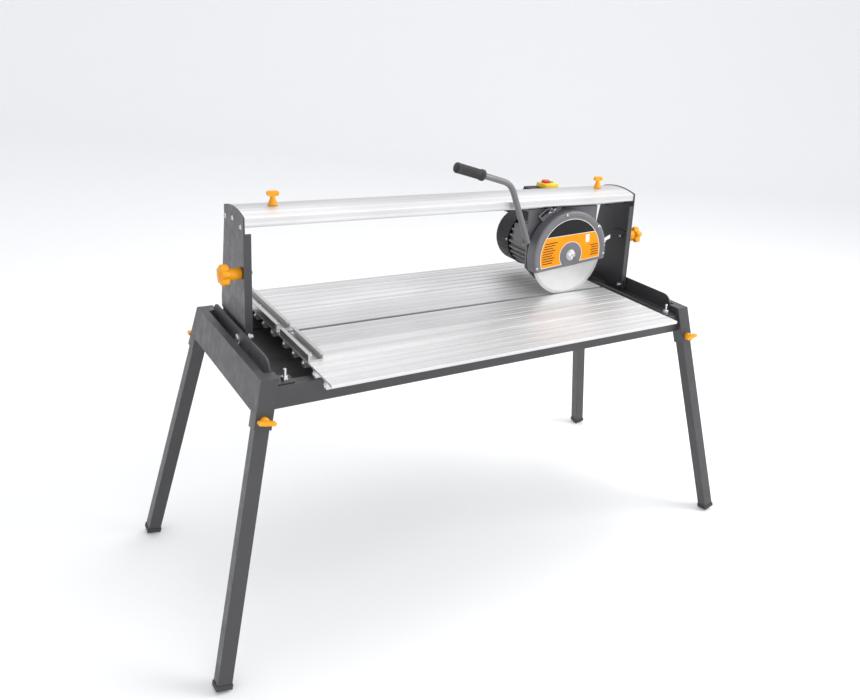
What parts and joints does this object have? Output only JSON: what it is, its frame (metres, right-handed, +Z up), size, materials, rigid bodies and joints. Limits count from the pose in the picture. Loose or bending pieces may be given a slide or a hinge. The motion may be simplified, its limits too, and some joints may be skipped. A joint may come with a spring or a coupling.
{
  "type": "wet tile cutter",
  "caption": "Wet tile cutter: a motor and blade hang from a carriage that rolls along an overhead guide rail above a slotted ribbed table on a splayed-leg stand.",
  "frame": {"origin": "on the floor, below the middle of the cutting slot", "axes": "+X along the guide rail to the right, +Y from the user's side to the back, +Z up"},
  "size_m": [1.218, 0.5654, 0.8592],
  "materials": {
    "dark_grey_paint": "dark grey powder coat, fine orange peel, satin",
    "mid_grey_paint": "mid grey satin enamel",
    "aluminium": "bright extruded aluminium with fine draw lines",
    "blade_steel": "pale ground steel, satin",
    "zinc_steel": "bright zinc plate",
    "amber_plastic": "amber moulded plastic, semi-gloss",
    "black_plastic": "black moulded plastic, fine grain",
    "black_rubber": "black moulded rubber, matt",
    "yellow_plastic": "yellow moulded plastic",
    "red_plastic": "red moulded plastic",
    "green_plastic": "green moulded plastic"
  },
  "bodies": {
    "stand": {"frame_end_left": "dark_grey_paint", "frame_end_right": "dark_grey_paint", "frame_rail_front": "dark_grey_paint", "frame_rail_rear": "dark_grey_paint", "water_tray": "black_plastic", "water_pump": "black_plastic", "table_front": "aluminium", "table_rear": "aluminium", "fence_front": "aluminium", "fence_rear": "aluminium", "end_bracket_left": "dark_grey_paint", "end_bracket_right": "dark_grey_paint", "pivot_bolt_left": "zinc_steel", "pivot_bolt_right": "zinc_steel"},
    "head": {"post_left": "dark_grey_paint", "post_right": "dark_grey_paint", "guide_rail": "aluminium"},
    "carriage": {"carriage": "mid_grey_paint", "carriage_buffer_left": "black_rubber", "carriage_buffer_right": "black_rubber", "motor_housing": "mid_grey_paint", "bearing_front": "zinc_steel", "bearing_rear": "zinc_steel", "fan_cover": "black_plastic", "handle_bar": "mid_grey_paint", "handle_grip": "black_rubber", "switch_box": "black_plastic", "switch_frame": "yellow_plastic", "capacitor_box": "black_plastic"},
    "arbor": {"rotor_shaft": "zinc_steel", "cooling_fan": "black_plastic", "blade": "blade_steel", "blade_flange_inner": "zinc_steel", "blade_flange_outer": "zinc_steel", "blade_nut": "zinc_steel"},
    "guard": {"guard_front": "mid_grey_paint", "guard_back": "mid_grey_paint"},
    "leg_front_left": {"leg_front_left": "dark_grey_paint", "foot_front_left": "black_rubber"},
    "leg_knob_front_left": {"leg_knob_front_left": "amber_plastic"},
    "roller_front_left": {"roller_front_left": "zinc_steel"},
    "leg_front_right": {"leg_front_right": "dark_grey_paint", "foot_front_right": "black_rubber"},
    "leg_knob_front_right": {"leg_knob_front_right": "amber_plastic"},
    "roller_front_right": {"roller_front_right": "zinc_steel"},
    "leg_rear_left": {"leg_rear_left": "dark_grey_paint", "foot_rear_left": "black_rubber"},
    "leg_knob_rear_left": {"leg_knob_rear_left": "amber_plastic"},
    "roller_rear_left": {"roller_rear_left": "zinc_steel"},
    "leg_rear_right": {"leg_rear_right": "dark_grey_paint", "foot_rear_right": "black_rubber"},
    "leg_knob_rear_right": {"leg_knob_rear_right": "amber_plastic"},
    "roller_rear_right": {"roller_rear_right": "zinc_steel"},
    "star_knob_left": {"star_knob_left": "amber_plastic"},
    "lock_screw_left": {"lock_screw_left": "amber_plastic"},
    "star_knob_right": {"star_knob_right": "amber_plastic"},
    "lock_screw_right": {"lock_screw_right": "amber_plastic"},
    "guard_wing_nut": {"guard_wing_nut": "zinc_steel"},
    "stop_button": {"stop_button": "red_plastic"},
    "start_button": {"start_button": "green_plastic"}
  },
  "joints": [
    {"name": "bevel_tilt", "type": "hinge", "parent": "stand", "child": "head", "pos_m": [0, 0, 0.533], "axis": [1, 0, 0], "range_deg": [0, 45]},
    {"name": "carriage_slide", "type": "slide", "parent": "head", "child": "carriage", "axis": [1, 0, 0], "range_m": [-0.594, 0.026]},
    {"name": "blade_spin", "type": "hinge", "parent": "carriage", "child": "arbor", "pos_m": [0.284, 0, 0.63], "axis": [0, 1, 0], "continuous": true},
    {"name": "guard_swing", "type": "hinge", "parent": "carriage", "child": "guard", "pos_m": [0.284, 0, 0.63], "axis": [0, 1, 0], "range_deg": [-12, 12]},
    {"name": "leg_slide_front_left", "type": "slide", "parent": "stand", "child": "leg_front_left", "axis": [-0.2022, -0.1481, -0.9681], "range_m": [0, 0.055]},
    {"name": "leg_knob_turn_front_left", "type": "hinge", "parent": "stand", "child": "leg_knob_front_left", "pos_m": [-0.50001, -0.21381, 0.46431], "axis": [0, -0.9885, 0.1513], "range_deg": [0, 720]},
    {"name": "roller_turn_front_left", "type": "hinge", "parent": "carriage", "child": "roller_front_left", "pos_m": [0.164, 0.0465, 0.7514], "axis": [0, 1, 0], "continuous": true},
    {"name": "leg_slide_front_right", "type": "slide", "parent": "stand", "child": "leg_front_right", "axis": [0.2022, -0.1481, -0.9681], "range_m": [0, 0.055]},
    {"name": "leg_knob_turn_front_right", "type": "hinge", "parent": "stand", "child": "leg_knob_front_right", "pos_m": [0.50001, -0.21381, 0.46431], "axis": [0, -0.9885, 0.1513], "range_deg": [0, 720]},
    {"name": "roller_turn_front_right", "type": "hinge", "parent": "carriage", "child": "roller_front_right", "pos_m": [0.404, 0.0465, 0.7514], "axis": [0, 1, 0], "continuous": true},
    {"name": "leg_slide_rear_left", "type": "slide", "parent": "stand", "child": "leg_rear_left", "axis": [-0.2022, 0.1481, -0.9681], "range_m": [0, 0.055]},
    {"name": "leg_knob_turn_rear_left", "type": "hinge", "parent": "stand", "child": "leg_knob_rear_left", "pos_m": [-0.50001, 0.21381, 0.46431], "axis": [0, 0.9885, 0.1513], "range_deg": [0, 720]},
    {"name": "roller_turn_rear_left", "type": "hinge", "parent": "carriage", "child": "roller_rear_left", "pos_m": [0.164, 0.0465, 0.7514], "axis": [0, 1, 0], "continuous": true},
    {"name": "leg_slide_rear_right", "type": "slide", "parent": "stand", "child": "leg_rear_right", "axis": [0.2022, 0.1481, -0.9681], "range_m": [0, 0.055]},
    {"name": "leg_knob_turn_rear_right", "type": "hinge", "parent": "stand", "child": "leg_knob_rear_right", "pos_m": [0.50001, 0.21381, 0.46431], "axis": [0, 0.9885, 0.1513], "range_deg": [0, 720]},
    {"name": "roller_turn_rear_right", "type": "hinge", "parent": "carriage", "child": "roller_rear_right", "pos_m": [0.404, 0.0465, 0.7514], "axis": [0, 1, 0], "continuous": true},
    {"name": "star_knob_turn_left", "type": "hinge", "parent": "stand", "child": "star_knob_left", "pos_m": [-0.4697, 0.006, 0.658], "axis": [-1, 0, 0], "range_deg": [0, 720]},
    {"name": "lock_screw_turn_left", "type": "hinge", "parent": "head", "child": "lock_screw_left", "pos_m": [-0.396, 0.0465, 0.7743], "axis": [0, 0, 1], "range_deg": [0, 720]},
    {"name": "star_knob_turn_right", "type": "hinge", "parent": "stand", "child": "star_knob_right", "pos_m": [0.4697, 0.006, 0.658], "axis": [1, 0, 0], "range_deg": [0, 720]},
    {"name": "lock_screw_turn_right", "type": "hinge", "parent": "head", "child": "lock_screw_right", "pos_m": [0.396, 0.0465, 0.7743], "axis": [0, 0, 1], "range_deg": [0, 720]},
    {"name": "guard_nut_turn", "type": "hinge", "parent": "carriage", "child": "guard_wing_nut", "pos_m": [0.23249, 0.0112, 0.73561], "axis": [0, -1, 0], "range_deg": [0, 720]},
    {"name": "stop_button_press", "type": "slide", "parent": "carriage", "child": "stop_button", "axis": [0, 0, -1], "range_m": [0, 0.0035], "stiffness_N_per_m": 400},
    {"name": "start_button_press", "type": "slide", "parent": "carriage", "child": "start_button", "axis": [0, 0, -1], "range_m": [0, 0.0035], "stiffness_N_per_m": 400}
  ],
  "couplings": [
    {"joint": "roller_turn_front_left", "follows": "carriage_slide", "rad_per_m": 111.11},
    {"joint": "roller_turn_front_right", "follows": "carriage_slide", "rad_per_m": 111.11},
    {"joint": "roller_turn_rear_left", "follows": "carriage_slide", "rad_per_m": 111.11},
    {"joint": "roller_turn_rear_right", "follows": "carriage_slide", "rad_per_m": 111.11}
  ]
}
